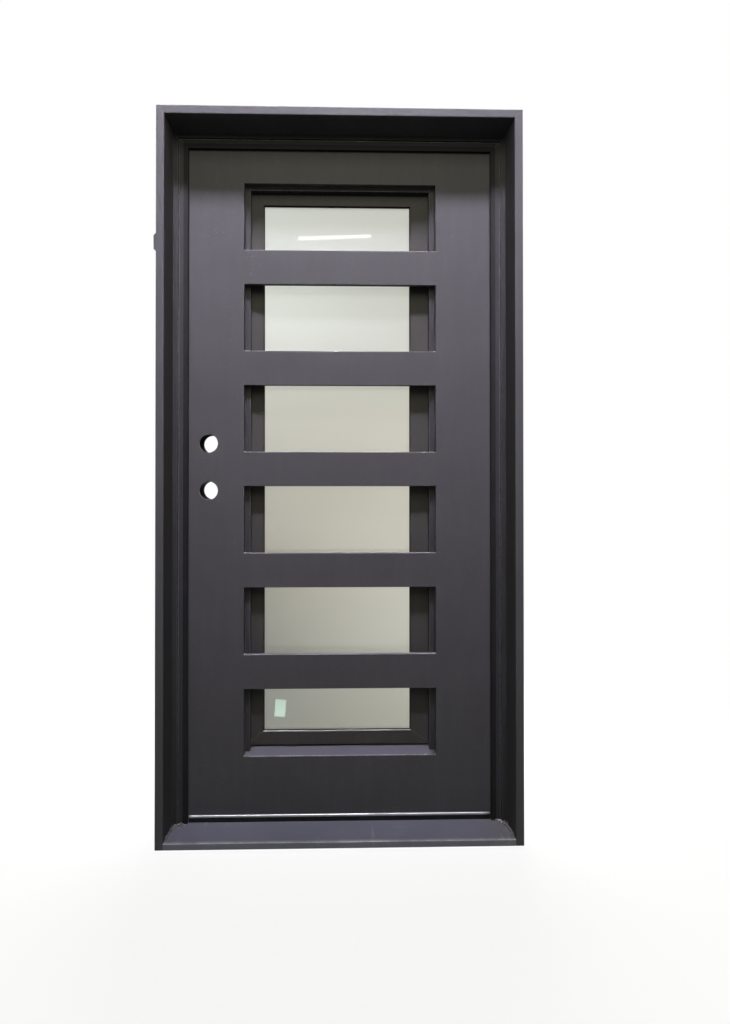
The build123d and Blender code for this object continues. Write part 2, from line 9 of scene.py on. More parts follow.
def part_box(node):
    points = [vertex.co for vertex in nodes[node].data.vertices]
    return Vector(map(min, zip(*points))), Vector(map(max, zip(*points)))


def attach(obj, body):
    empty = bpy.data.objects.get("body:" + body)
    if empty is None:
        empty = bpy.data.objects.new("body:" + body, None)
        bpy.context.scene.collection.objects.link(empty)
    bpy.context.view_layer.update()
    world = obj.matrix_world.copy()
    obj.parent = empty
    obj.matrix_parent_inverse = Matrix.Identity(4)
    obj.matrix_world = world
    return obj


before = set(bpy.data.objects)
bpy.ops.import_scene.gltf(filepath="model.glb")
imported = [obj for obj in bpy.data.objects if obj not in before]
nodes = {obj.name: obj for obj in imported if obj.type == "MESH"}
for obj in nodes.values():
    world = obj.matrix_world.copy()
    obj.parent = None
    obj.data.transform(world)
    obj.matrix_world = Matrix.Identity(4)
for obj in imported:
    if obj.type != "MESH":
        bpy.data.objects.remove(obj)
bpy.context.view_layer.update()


# Frame: two jambs and a head, each one bent hollow section of steel sheet with a deep reveal.
# They are mitred and welded at the top corners, ground flush, and sprayed satin charcoal black.
# The paint is a little dusty on the broad faces and rubbed paler along the edges, and painted shade darkens
# it down in the rebate.
class Shade:
    """One socket of a material's nodes. Sums on it add Math nodes, and node() adds any other kind."""

    def __init__(self, tree, socket=None):
        self.tree = tree
        self.socket = socket

    def node(self, kind, settings, inputs, out=0):
        """Adds a node, sets it up, feeds its sockets, and hands back one of its outputs."""
        added = self.tree.nodes.new("ShaderNode" + kind)
        for name, value in settings.items():
            setattr(added, name, value)
        for key, value in inputs.items():
            if isinstance(value, Shade):
                self.tree.links.new(value.socket, added.inputs[key])
            else:
                added.inputs[key].default_value = value
        return Shade(self.tree, added.outputs[out])

    def maths(self, operation, first, second):
        return self.node("Math", {"operation": operation}, {0: first, 1: second})

    def __add__(self, other):
        return self.maths("ADD", self, other)

    __radd__ = __add__

    def __sub__(self, other):
        return self.maths("SUBTRACT", self, other)

    def __rsub__(self, other):
        return self.maths("SUBTRACT", other, self)

    def __mul__(self, other):
        return self.maths("MULTIPLY", self, other)

    __rmul__ = __mul__

    def __pow__(self, other):
        return self.maths("POWER", self, other)

    def over(self, low, high):
        """0 below low, 1 above high, and an even slope between."""
        return self.node("MapRange", {"clamp": True}, {"Value": self, "From Min": low, "From Max": high})

    def grain(self, scale, detail=2.0, stretch=(1.0, 1.0, 1.0)):
        """Cloudy noise at this many cells a metre, read at this place."""
        place = self.node("VectorMath", {"operation": "MULTIPLY"}, {0: self, 1: stretch})
        return self.node("TexNoise", {}, {"Vector": place, "Scale": scale, "Detail": detail})

    def tint(self, first, second):
        """The first colour where this is 0 and the second where it is 1."""
        return self.node("Mix", {"data_type": "RGBA"}, {0: self, 6: first, 7: second}, out=2)

    def axis(self, name):
        """The X, Y or Z of a place or a direction."""
        return self.node("SeparateXYZ", {}, {0: self}, out=name)

    def facing(self):
        """The direction that the surface faces."""
        return self.node("NewGeometry", {}, {}, out="Normal")

    def relief(self, strength=1.0, rounded=None):
        """The surface's direction with this height, in metres, raised on it."""
        inputs = {"Strength": strength, "Distance": 1.0, "Height": self}
        if rounded is not None:
            inputs["Normal"] = rounded
        return self.node("Bump", {}, inputs)


def finish(name, **uniform):
    """A new material, its starting place in the piece's own metres, and its shader node."""
    material = bpy.data.materials.new(name)
    material.use_nodes = True
    shader = material.node_tree.nodes["Principled BSDF"]
    for socket, value in uniform.items():
        shader.inputs[socket.replace("_", " ")].default_value = value
    place = Shade(material.node_tree).node("TexCoord", {}, {}, out="Object")
    return material, place, shader


def feed(shader, **links):
    """Joins what changes over the surface to the shader's sockets."""
    for socket, shade in links.items():
        shade.tree.links.new(shade.socket, shader.inputs[socket.replace("_", " ")])


def edge_wear(place, radius):
    """Near 1 along sharp edges, 0 on flat metal, and the rounded direction of the surface there."""
    rounded = place.node("Bevel", {"samples": 6}, {"Radius": radius})
    flat = place.facing()
    match = place.node("VectorMath", {"operation": "DOT_PRODUCT"}, {0: rounded, 1: flat}, out="Value")
    return (1 - match).over(0.01, 0.2), rounded


outside_margin = 0.005
outside_fade = 0.01
outer_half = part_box("hinge_jamb")[1][0] - outside_margin
outer_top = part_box("head")[1][2] - outside_margin
inner_half = outer_half - outside_fade
inner_top = outer_top - outside_fade
rebate_starts = (0.002, 0.006)
rebate_ends = (0.03, 0.05)
rub_radius = 0.0018
crest_radius = 0.003
wave_height = 0.0012
peel_height = 0.00006
drift_height = 0.00002
ledge_dust = (0.088, 0.086, 0.103, 1)
# Painted highlight: the pale colour laid along up-facing edges.
crest_painted_highlight = (0.5, 0.48, 0.51, 1)
# Painted shade: the near-black laid down in the frame's rebate.
rebate_painted_shade = (0.004, 0.004, 0.005, 1)


def sprayed_steel(name, paint, dusty, worn, wear, shaded=1.0, settle=1.0):
    """Satin paint on steel: fine peel, soft waves, dust in clouds and on ledges, rubbed edges, painted shade
    down in the rebate, and a painted highlight along up-facing edges.
    """
    material, place, shader = finish(name, Specular_IOR_Level=0.1)
    clouds = place.grain(6.0, 4.0).over(0.3, 0.75)
    drift = place.grain(40.0, 3.0, (1.0, 1.0, 0.12)).over(0.4, 0.75)
    specks = place.grain(420.0, 1.0).over(0.7, 0.76) * place.grain(15.0).over(0.45, 0.7)
    edge, rounded = edge_wear(place, rub_radius)
    rub = edge * (0.45 + place.grain(55.0, 4.0).over(0.3, 0.7) * 0.55) * wear
    upward = place.facing().axis("Z").over(0.6, 0.95)
    dust_and_painted_shade = (clouds * 0.5 + drift * 0.35).tint(paint, dusty)
    dotted = (specks * 0.5).tint(dust_and_painted_shade, worn)
    across = place.axis("X")
    inner = 1 - (across * across).over(inner_half ** 2, outer_half ** 2)
    under = 1 - place.axis("Z").over(inner_top, outer_top)
    # Painted shade: unless shaded is 1, the coat darkens towards near-black down in the rebate, clear of the
    # frame's outer sides and top.
    rebate = place.axis("Y").over(*rebate_starts) - place.axis("Y").over(*rebate_ends)
    deep = (rebate * inner * under * (1 - shaded)).tint(dotted, rebate_painted_shade)
    settled = (upward * (0.8 + clouds * 0.2) * settle).tint(deep, ledge_dust)
    # Painted highlight: a pale line along level up-facing edges that run along X, broken up by noise.
    brink, turned = edge_wear(place, crest_radius)
    slant = turned.axis("X") * turned.axis("X")
    crest_highlight_mask = brink * turned.axis("Z").over(0.1, 0.35) * (1 - slant.over(0.01, 0.06))
    highlighted = (crest_highlight_mask * (0.5 + place.grain(30.0, 3.0).over(0.35, 0.65) * 0.5)).tint(settled, crest_painted_highlight)
    peel = place.grain(650.0, 2.0) * peel_height + place.grain(5.0, 1.0) * wave_height + drift * drift_height
    feed(shader, Base_Color=rub.tint(highlighted, worn), Normal=peel.relief(rounded=rounded),
         Roughness=0.57 + clouds * 0.05 + specks * 0.2 + upward * 0.12)
    return material


def dress(material, names):
    """Gives CAD nodes a finish."""
    for name in names:
        nodes[name].data.materials.clear()
        nodes[name].data.materials.append(material)


frame_paint = sprayed_steel("frame_paint", paint=(0.046, 0.0445, 0.049, 1), dusty=(0.06, 0.058, 0.062, 1),
                            worn=(0.24, 0.23, 0.25, 1), wear=0.55, shaded=0.45, settle=0.0)
dress(frame_paint, ["hinge_jamb", "lock_jamb", "head"])


# Threshold: a flat tube welded between the jambs, walked on and scraped, so its front edge has lost paint in
# patches.
# It is the same black, but grey with dust, gritty in the hinge corner, and it has scratches both ways.
# A pale line all along that front edge is a painted highlight, with the real chips on top of it.
worn_and_highlit_edge = (-0.074, -0.062)
worst_wear_starts = (-0.06, 0.0)
worst_wear_ends = (0.09, 0.2)
gritty_corner = (0.38, 0.46)
sill_edge_radius = 0.002
sill_peel_height = 0.00007
scratch_depth = 0.00004
chip_depth = 0.0001


def trodden_steel(name, paint, dusty, bare_and_highlight, grit):
    """Dusty paint with scratches along and across, steel showing where the front edge has chips, and a
    painted highlight along that whole edge.
    """
    material, place, shader = finish(name, Specular_IOR_Level=0.3)
    clouds = place.grain(9.0, 5.0).over(0.32, 0.72)
    scratches = place.grain(90.0, 3.0, (1.0, 0.06, 1.0)).over(0.64, 0.7) * place.grain(7.0).over(0.48, 0.62)
    scrapes = place.grain(120.0, 3.0, (0.08, 1.0, 1.0)).over(0.66, 0.71) * place.grain(5.0).over(0.46, 0.6)
    rounded = edge_wear(place, sill_edge_radius)[1]
    upward = place.facing().axis("Z").over(0.25, 0.7)
    front = (1 - place.axis("Y").over(*worn_and_highlit_edge)) ** 2.0
    worst = place.axis("X").over(*worst_wear_starts) - place.axis("X").over(*worst_wear_ends)
    # Painted highlight: a steady pale share along the whole up-facing front edge, with the chips and the
    # worst wear adding to it.
    chips_and_highlight = upward * front * (0.3 + place.grain(26.0, 5.0).over(0.4, 0.6) * 0.3 + worst * 0.25)
    dust_and_painted_shade = (clouds * 0.7).tint(paint, dusty)
    swept = place.axis("X").over(*gritty_corner) * place.grain(30.0, 4.0).over(0.3, 0.6)
    gritty = (swept * 0.8).tint(dust_and_painted_shade, grit)
    marks = (scratches * 0.16 + scrapes * 0.14).tint(gritty, bare_and_highlight)
    scored = (scratches + scrapes) * scratch_depth
    peel = place.grain(650.0, 2.0) * sill_peel_height - scored - chips_and_highlight * chip_depth
    feed(shader, Base_Color=chips_and_highlight.tint(marks, bare_and_highlight), Roughness=0.5 + clouds * 0.12 - chips_and_highlight * 0.1,
         Metallic=chips_and_highlight * 0.4, Normal=peel.relief(rounded=rounded))
    return material


threshold_paint = trodden_steel("threshold_paint", paint=(0.098, 0.098, 0.127, 1),
                                dusty=(0.127, 0.126, 0.162, 1), bare_and_highlight=(0.5, 0.49, 0.5, 1),
                                grit=(0.125, 0.119, 0.118, 1))
dress(threshold_paint, ["threshold"])


# Corner welds: rough beads run by hand where the jambs stand on the threshold, filling the stepped corner.
# They were sprayed over with the frame, their crests are rubbed bare and dusty, and crumbs of weld lie there.
bead_step = 0.0022
bead_sides = 10
lump_steps = 3
lump_share = (0.65, 1.25)
ripple_mean = 0.9
ripple_swing = 0.16
ripple_turn = 1.7
end_share = 0.35
end_growth = 0.25
ring_wobble = (0.88, 1.12)


def join_rings(shape, rings):
    """Skins a row of equal rings of points with four-sided faces."""
    for first, second in zip(rings, rings[1:]):
        for turn in range(len(first)):
            after = (turn + 1) % len(first)
            shape.faces.new((first[turn], first[after], second[after], second[turn]))


def lay_bead(shape, path, width, draws):
    """A lumpy bead of weld along a path of places, pinched at both ends."""
    spots = []
    for start, end in zip(path, path[1:]):
        count = max(2, round((end - start).length / bead_step))
        spots += [start.lerp(end, index / count) for index in range(count)]
    spots.append(path[-1])
    last = len(spots) - 1
    lumps = [draws.uniform(*lump_share) for _ in range(last // lump_steps + 1)]
    rings = []
    for index, spot in enumerate(spots):
        along = (spots[min(index + 1, last)] - spots[max(index - 1, 0)]).normalized()
        across = along.cross(Vector((0, 0, 1))).normalized()
        rise = across.cross(along)
        ripple = ripple_mean + ripple_swing * math.sin(index * ripple_turn)
        pinch = min(1.0, end_share + end_growth * min(index, last - index))
        size = width * pinch * ripple * lumps[index // lump_steps]
        ring = []
        for turn in range(bead_sides):
            angle = math.tau * turn / bead_sides
            reach = size * draws.uniform(*ring_wobble)
            ring.append(shape.verts.new(spot + reach * (across * math.cos(angle) + rise * math.sin(angle))))
        rings.append(ring)
    join_rings(shape, rings)
    shape.faces.new(rings[0])
    shape.faces.new(rings[-1])


def add_piece(name, shape, material, body, smooth=True):
    """Turns a worked mesh into a piece that moves with a body."""
    bmesh.ops.recalc_face_normals(shape, faces=shape.faces)
    mesh = bpy.data.meshes.new(name)
    shape.to_mesh(mesh)
    shape.free()
    for face in mesh.polygons:
        face.use_smooth = smooth
    mesh.materials.append(material)
    piece = bpy.data.objects.new(name, mesh)
    bpy.context.collection.objects.link(piece)
    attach(piece, body)


weld_paint = sprayed_steel("weld_paint", paint=(0.03, 0.028, 0.03, 1), dusty=(0.24, 0.225, 0.23, 1),
                           worn=(0.75, 0.72, 0.72, 1), wear=1.0, settle=0.15)
sill_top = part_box("threshold")[1][2]
weld_plan = [(0.4905, -0.06), (0.489, -0.034), (0.4845, -0.014), (0.478, 0.0), (0.469, 0.007),
             (0.456, 0.0085)]
weld_rise = 0.0005
weld_width = 0.0052
patch_plan = [(0.488, 0.002), (0.4795, 0.0045)]
patch_width = 0.0065
crumb_count = 9
crumb_start = 3
crumb_aside = (-0.012, 0.008)
crumb_forward = (-0.014, 0.001)
crumb_length = (0.003, 0.006)
crumb_width = (0.0012, 0.0026)
for corner, side, seed in (("hinge", 1, 3), ("lock", -1, 8)):
    weld_draws = random.Random(seed)
    weld = bmesh.new()
    line = [Vector((side * x, y, sill_top + weld_rise)) for x, y in weld_plan]
    lay_bead(weld, line, weld_width, weld_draws)
    lay_bead(weld, [Vector((side * x, y, sill_top)) for x, y in patch_plan], patch_width, weld_draws)
    for _ in range(crumb_count):
        near_bead = line[crumb_start].lerp(line[-1], weld_draws.random())
        aside = side * weld_draws.uniform(*crumb_aside)
        crumb = near_bead + Vector((aside, weld_draws.uniform(*crumb_forward), 0.0))
        crumb_end = crumb + Vector((weld_draws.uniform(*crumb_length), 0.0, 0.0))
        lay_bead(weld, [crumb, crumb_end], weld_draws.uniform(*crumb_width), weld_draws)
    add_piece(f"{corner}_corner_weld", weld, weld_paint, "frame")


# Stop strips: flat bars welded behind the ledge of the frame, which the leaf shuts against.
# They are sprayed with the frame, but in a darker copy of its paint that is painted shade in the rebate, and
# their thin edge shows as a paler line down the reveal.
# Painted shade: this is the frame's paint made about half as bright.
stop_paint_painted_shade = sprayed_steel("stop_paint_painted_shade", paint=(0.022, 0.0215, 0.024, 1), dusty=(0.03, 0.029, 0.032, 1),
                           worn=(0.34, 0.325, 0.34, 1), wear=0.9)
dress(stop_paint_painted_shade, ["hinge_stop", "lock_stop", "head_stop"])


# Seals: black bulb rubber pushed on the lips of the stop strips, and the rubber behind and under the sash.
# It is matt, finely pitted and a little grey with dust, and the fin of the sweep is the same rubber.
rubber_pit_height = 0.00004


def bulb_rubber(name, rubber, dusty):
    """Matt rubber with a pitted skin and a thin film of dust."""
    material, place, shader = finish(name, Specular_IOR_Level=0.1)
    dust = place.grain(30.0, 4.0).over(0.45, 0.8)
    skin = place.grain(900.0, 1.0) * rubber_pit_height
    feed(shader, Base_Color=(dust * 0.6).tint(rubber, dusty), Roughness=0.62 + dust * 0.2,
         Normal=skin.relief())
    return material


seal_rubber = bulb_rubber("seal_rubber", rubber=(0.006, 0.0058, 0.0065, 1), dusty=(0.016, 0.0155, 0.017, 1))
dress(seal_rubber, ["hinge_seal", "lock_seal", "head_seal", "sash_gasket", "sash_foot_strip", "sweep_fin"])


# Anchor ears: short flats welded to the back of the frame, each with two holes for wall screws.
# They are sprayed with the frame and have scraped corners from handling.
ear_paint = sprayed_steel("ear_paint", paint=(0.042, 0.04, 0.044, 1), dusty=(0.065, 0.062, 0.066, 1),
                          worn=(0.3, 0.28, 0.28, 1), wear=0.9)
dress(ear_paint, ["side_anchor_ear", "head_anchor_ear"])


# Leaf: a sheet skin over welded tubes, with five cross bars between the openings, all sprayed in one go.
# The broad face is even and satin, the edges of the openings are rubbed a little paler, and their up-facing
# edges carry a painted highlight.
# The thin tubes that stop the sash behind the openings take the stop strips' darker paint, which is painted
# shade.
leaf_paint = sprayed_steel("leaf_paint", paint=(0.04, 0.0388, 0.042, 1), dusty=(0.05, 0.0485, 0.052, 1),
                           worn=(0.24, 0.23, 0.25, 1), wear=0.6)
cross_bars = [f"cross_bar_{index}" for index in range(1, 6)]
dress(leaf_paint, ["leaf_skin", "hinge_stile", "lock_stile", "top_rail", "bottom_rail"] + cross_bars)
dress(stop_paint_painted_shade, ["hinge_sash_stop", "lock_sash_stop", "top_sash_stop"])


# Lattice welds: short beads that join the ends of the bars and the sill to the stiles, low in each opening.
# They are left as run, so they show as small pale lumps under the paint.
opening_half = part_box("top_rail")[1][0]
skin_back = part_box("top_rail")[0][1]
bar_pitch = 0.3
sill_slope = 0.25
sill_weld_run = 0.016
bar_weld_run = (0.009, 0.013)
bar_weld_width = (0.0026, 0.0036)
weld_off_side = 0.0006
weld_off_skin = 0.0012
tail_run = (0.008, 0.024)
tail_width = (0.0016, 0.0023)
tail_set_back = Vector((0.0, 0.0014, 0.0))
tail_drift = (0.0012, 0.0002)
rail_tops = [(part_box(bar)[1][2], 0.0) for bar in cross_bars]
rail_tops.insert(0, (rail_tops[0][0] - bar_pitch, sill_slope))
lattice_weld = bmesh.new()
lattice_draws = random.Random(21)
for top, slope in rail_tops:
    for side in (-1, 1):
        run = lattice_draws.uniform(*bar_weld_run) if slope == 0.0 else sill_weld_run
        near = Vector((side * (opening_half - weld_off_side), skin_back - weld_off_skin, top))
        far = near + Vector((0.0, run, run * slope))
        lay_bead(lattice_weld, [near, far], lattice_draws.uniform(*bar_weld_width), lattice_draws)
        tail = near + tail_set_back
        inward = Vector((-side * lattice_draws.uniform(*tail_run), *tail_drift))
        lay_bead(lattice_weld, [tail, tail + inward], lattice_draws.uniform(*tail_width), lattice_draws)
add_piece("lattice_welds", lattice_weld, weld_paint, "leaf")


# Sweep: a round-topped aluminium carrier fixed across the foot of the leaf, with a rubber fin under it.
# The carrier is bare drawn metal with fine lines along its length, and painted shade darkens its ends where
# the jambs shade them.
lock_end_shade = (-0.447, -0.44)
hinge_end_shade = (0.42, 0.444)
drawn_line_height = 0.00002


def drawn_aluminium(name, metal, dull, end_painted_shade):
    """Bare metal with drawn lines along X, patches of dirt, and painted shade at both ends."""
    material, place, shader = finish(name, Metallic=1.0)
    lines = place.grain(1400.0, 2.0, (0.02, 1.0, 1.0))
    dirt = place.grain(18.0, 4.0).over(0.45, 0.8)
    # Painted shade: both ends of the carrier are darkened where the jambs shade them.
    ends = place.axis("X").over(*hinge_end_shade) + 1 - place.axis("X").over(*lock_end_shade)
    dust_and_painted_shade = (dirt * 0.6).tint(metal, dull)
    feed(shader, Base_Color=(ends * 0.9).tint(dust_and_painted_shade, end_painted_shade), Roughness=0.3 + dirt * 0.2 + lines * 0.08,
         Normal=(lines * drawn_line_height).relief())
    return material


sweep_aluminium = drawn_aluminium("sweep_aluminium", metal=(0.44, 0.45, 0.47, 1), dull=(0.26, 0.26, 0.28, 1),
                                  end_painted_shade=(0.05, 0.05, 0.054, 1))
dress(sweep_aluminium, ["sweep_carrier"])


# Sash: a slim mitred frame behind the lattice that holds the glass and swings indoors for cleaning.
# It is the same sprayed steel, browner where the coat is thin, with four beads that press the glass.
sash_paint = sprayed_steel("sash_paint", paint=(0.03, 0.0282, 0.027, 1), dusty=(0.04, 0.0378, 0.036, 1),
                           worn=(0.16, 0.15, 0.14, 1), wear=0.4)
dress(sash_paint, ["sash_latch_stile", "sash_hinge_stile", "sash_foot_rail", "sash_top_rail", "foot_bead",
                   "top_bead", "latch_bead", "hinge_bead"])


# Pane: one sheet of obscure glass, finely frosted, pale grey-green, bedded behind the lip of the sash.
# It passes light but no view, and painted shade makes it greyer and warmer towards its foot, with a band of
# painted warm light across its middle.
glass_width = (-0.24, 0.22)
latch_shade_fades = (0.55, 1.5)
hinge_shade_fades = (0.3, 0.7)
top_shade = (1.6, 1.8)
amber_starts = (0.45, 0.8)
amber_ends = (1.2, 1.5)
frost_height = 0.0001


def obscure_glass(name, clean, painted_shade_grey, painted_shade_warm, amber):
    """Frosted glass with painted shade that is darkest low on the latch side and warmer on the other, and a
    painted warm band.
    """
    material, place, shader = finish(name, Transmission_Weight=1.0, IOR=1.5, Coat_Weight=1.0,
                                     Coat_Roughness=0.03)
    rise = place.axis("Z")
    across = place.axis("X").over(*glass_width)
    left = (1 - rise.over(*latch_shade_fades)) ** 0.8
    right = 0.32 + (1 - rise.over(*hinge_shade_fades)) * 0.32
    upper = rise.over(*top_shade) * (0.22 - across * 0.18)
    # Painted shade: less light comes through low down, most on the latch side, and a little less at the top.
    dust_and_painted_shade = left + across * (right - left) + upper + place.grain(3.0, 2.0) * 0.14 - 0.1
    shaded_glass = dust_and_painted_shade.over(0.0, 1.0).tint(clean, across.tint(painted_shade_grey, painted_shade_warm))
    # Painted warm light: a warmer, darker band across the middle of the pane.
    warm = rise.over(*amber_starts) - rise.over(*amber_ends)
    frost = place.grain(500.0, 2.0) * frost_height
    feed(shader, Base_Color=(warm * 0.16).tint(shaded_glass, amber), Roughness=0.45 + dust_and_painted_shade * 0.1,
         Normal=frost.relief(strength=0.6))
    return material


pane_glass = obscure_glass("obscure_glass", clean=(0.755, 0.78, 0.71, 1), painted_shade_grey=(0.27, 0.28, 0.245, 1),
                           painted_shade_warm=(0.3, 0.27, 0.19, 1), amber=(0.5, 0.36, 0.16, 1))
dress(pane_glass, ["pane"])


# Glazing tape: the pale foam edge of the tape that the pane is bedded on, seen along the foot of the glass.
# It is pressed flat on the lip of the sash, and its edge wanders a little.
foam_cell_height = 0.0002


def foam_tape(name, foam, dusty):
    """Pale open foam with patches of dust."""
    material, place, shader = finish(name, Specular_IOR_Level=0.2)
    cells = place.grain(700.0, 2.0)
    feed(shader, Base_Color=place.grain(25.0, 3.0).over(0.35, 0.75).tint(foam, dusty),
         Roughness=0.7 + cells * 0.2, Normal=(cells * foam_cell_height).relief(strength=0.6))
    return material


tape_foam = foam_tape("foam_tape", foam=(0.5, 0.49, 0.47, 1), dusty=(0.36, 0.35, 0.34, 1))
pane_low, pane_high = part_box("pane")
sash_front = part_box("sash_foot_rail")[0][1]
sash_lip = 0.006
lip_top = pane_low[2] + sash_lip
tape_thickness = 0.0008
tape_short = 0.005
tape_shy = 0.0003
tape_depth = 0.0036
tape_swell = (0.8, 1.1)
tape_count = 60
tape_draws = random.Random(5)
tape = bmesh.new()
tape_rows = []
for index in range(tape_count + 1):
    x = pane_low[0] + tape_short + (pane_high[0] - pane_low[0] - 2 * tape_short) * index / tape_count
    edge = sash_front + tape_shy + tape_draws.uniform(0.0, tape_shy)
    top = lip_top + tape_thickness * tape_draws.uniform(*tape_swell)
    inner = sash_front + tape_depth
    section = ((x, edge, lip_top), (x, edge, top), (x, inner, top), (x, inner, lip_top))
    tape_rows.append([tape.verts.new(spot) for spot in section])
join_rings(tape, tape_rows)
tape.faces.new(tape_rows[0])
tape.faces.new(tape_rows[-1])
add_piece("glazing_tape", tape, tape_foam, "sash")


# Glazing gasket: a slim black rubber bead pressed between the lip of the sash and the face of the glass.
# It runs all round the pane, mitred at the corners, and shows as a dark line about the glass.
gasket_profile = [(-0.0004, 0.0), (0.0024, 0.0), (0.003, -0.0004), (0.0032, -0.001), (0.0026, -0.0015),
                  (-0.0004, -0.0016)]
gasket = bmesh.new()
gasket_loops = []
for inset, proud in gasket_profile:
    left_edge = pane_low[0] + sash_lip + inset
    right_edge = pane_high[0] - sash_lip - inset
    foot_edge = pane_low[2] + sash_lip + inset
    top_edge = pane_high[2] - sash_lip - inset
    corners = [(left_edge, foot_edge), (right_edge, foot_edge), (right_edge, top_edge), (left_edge, top_edge)]
    gasket_loops.append([gasket.verts.new((x, pane_low[1] + proud, z)) for x, z in corners])
join_rings(gasket, gasket_loops + gasket_loops[:1])
add_piece("glazing_gasket", gasket, seal_rubber, "sash", smooth=False)


# Tag: a small blank paper sticker, pale mint, pressed on the outside of the glass near its lower corner.
# It sits a little crooked, one corner has begun to lift, and light from the room comes through the paper.
fibre_height = 0.00005


def sticker_paper(name, paper, shade):
    """Thin paper that glows a little with the light behind it."""
    material, place, shader = finish(name, Specular_IOR_Level=0.3, Emission_Color=paper,
                                     Emission_Strength=0.36)
    fibres = place.grain(1500.0, 3.0, (1.0, 1.0, 0.3))
    feed(shader, Base_Color=place.grain(60.0, 3.0).over(0.4, 0.7).tint(paper, shade),
         Roughness=0.6 + fibres * 0.2, Normal=(fibres * fibre_height).relief(strength=0.5))
    return material


tag_paper = sticker_paper("sticker_paper", paper=(0.72, 0.92, 0.85, 1), shade=(0.78, 0.92, 0.87, 1))
tag_size = (0.033, 0.053)
tag_place = Vector((-0.1815, pane_low[1], 0.3305))
tag_tilt = math.radians(4.0)
tag_steps = (8, 12)
tag_faces = (0.00018, 0.00002)
corner_lift = 0.0016
lift_start_share = 0.72
lift_span_share = 0.08
tag = bmesh.new()
tag_sides = []
for sheet in tag_faces:
    grid = []
    for row in range(tag_steps[1] + 1):
        for column in range(tag_steps[0] + 1):
            across = column / tag_steps[0] - 0.5
            up = row / tag_steps[1] - 0.5
            lift = sheet + corner_lift * max(0.0, across + up - lift_start_share) ** 2 / lift_span_share
            x = across * tag_size[0]
            z = up * tag_size[1]
            turned = Vector((x * math.cos(tag_tilt) + z * math.sin(tag_tilt), -lift,
                             z * math.cos(tag_tilt) - x * math.sin(tag_tilt)))
            grid.append(tag.verts.new(tag_place + turned))
    tag_sides.append(grid)
width = tag_steps[0] + 1
for grid in tag_sides:
    for row in range(tag_steps[1]):
        for column in range(tag_steps[0]):
            low = row * width + column
            tag.faces.new((grid[low], grid[low + 1], grid[low + width + 1], grid[low + width]))
rim = [edge for edge in tag.edges if edge.is_boundary]
bmesh.ops.bridge_loops(tag, edges=rim)
add_piece("blank_tag", tag, tag_paper, "sash")


# Hinges: lift-off hinges on the room side, each a fixed plate with the lower barrel, a moving plate with the
# upper one, and a loose pin. The plates are sprayed black, and the pins are plain steel wiped with oil.
oiled_grain_height = 0.00002


def oiled_steel(name, metal, oil):
    """Bare metal with a smear of oil."""
    material, place, shader = finish(name, Metallic=1.0)
    smear = place.grain(60.0, 4.0).over(0.35, 0.7)
    feed(shader, Base_Color=smear.tint(metal, oil), Roughness=0.25 + smear * 0.25,
         Normal=(place.grain(800.0) * oiled_grain_height).relief())
    return material


heights = ("lower", "middle", "upper")
hardware_black = (0.038, 0.0365, 0.04, 1)
hardware_dust = (0.055, 0.053, 0.056, 1)
hinge_paint = sprayed_steel("hinge_paint", paint=hardware_black, dusty=hardware_dust,
                            worn=(0.3, 0.29, 0.3, 1), wear=0.8)
for height in heights:
    dress(hinge_paint, [f"{height}_hinge_frame_plate", f"{height}_hinge_leaf_plate",
                        f"{height}_sash_hinge_leaf_plate", f"{height}_sash_hinge_sash_plate"])
pin_steel = oiled_steel("pin_steel", metal=(0.5, 0.5, 0.5, 1), oil=(0.24, 0.23, 0.22, 1))
dress(pin_steel, ["lower_hinge_pin", "middle_hinge_pin", "upper_hinge_pin", "sash_hinge_pins",
                  "lower_turn_button_stud", "upper_turn_button_stud"])


# Screws: countersunk cross-head screws that hold the hinge plates and the glazing beads on the room side.
# They are zinc plated, stand a hair proud of their plates, and each was left turned its own way.
screw_zinc = oiled_steel("screw_zinc", metal=(0.55, 0.54, 0.5, 1), oil=(0.3, 0.29, 0.27, 1))
screw_sides = 24
screw_profile = [(1.0, -0.0002), (1.0, 0.0002), (0.86, 0.0006)]
cross_depth = 0.0008
cross_arm_share = 0.55
cross_half_share = 0.13


def ring_of(shape, centre, points, proud):
    """Points set round a centre, standing proud of it towards the room."""
    return [shape.verts.new(centre + Vector((x, proud, z))) for x, z in points]


def screw_heads(name, spots, radius, body, seed):
    """One piece with a screw head, its cross sunk in, at each of the spots."""
    shape = bmesh.new()
    draws = random.Random(seed)
    turns = [math.tau * turn / screw_sides for turn in range(screw_sides)]
    arm = cross_arm_share * radius
    half = cross_half_share * radius
    quarter = [(half, arm), (half, half), (arm, half)]
    for spot in spots:
        twist = draws.uniform(0.0, math.tau)
        centre = Vector(spot)
        rings = []
        for share, proud in screw_profile:
            circle = [(share * radius * math.cos(angle), share * radius * math.sin(angle)) for angle in turns]
            rings.append(ring_of(shape, centre, circle, proud))
        join_rings(shape, rings)
        cross = []
        for turn in range(4):
            angle = twist - turn * math.pi / 2
            cross += [(x * math.cos(angle) - z * math.sin(angle), x * math.sin(angle) + z * math.cos(angle))
                      for x, z in quarter]
        mouth = ring_of(shape, centre, cross, screw_profile[-1][1])
        base = ring_of(shape, centre, cross, screw_profile[-1][1] - cross_depth)
        outline = []
        for loop in (rings[-1], mouth):
            for turn, vert in enumerate(loop):
                after = loop[(turn + 1) % len(loop)]
                outline.append(shape.edges.get((vert, after)) or shape.edges.new((vert, after)))
        bmesh.ops.triangle_fill(shape, use_beauty=True, edges=outline)
        join_rings(shape, [mouth, base])
        shape.faces.new(base)
    add_piece(name, shape, screw_zinc, body, smooth=False)


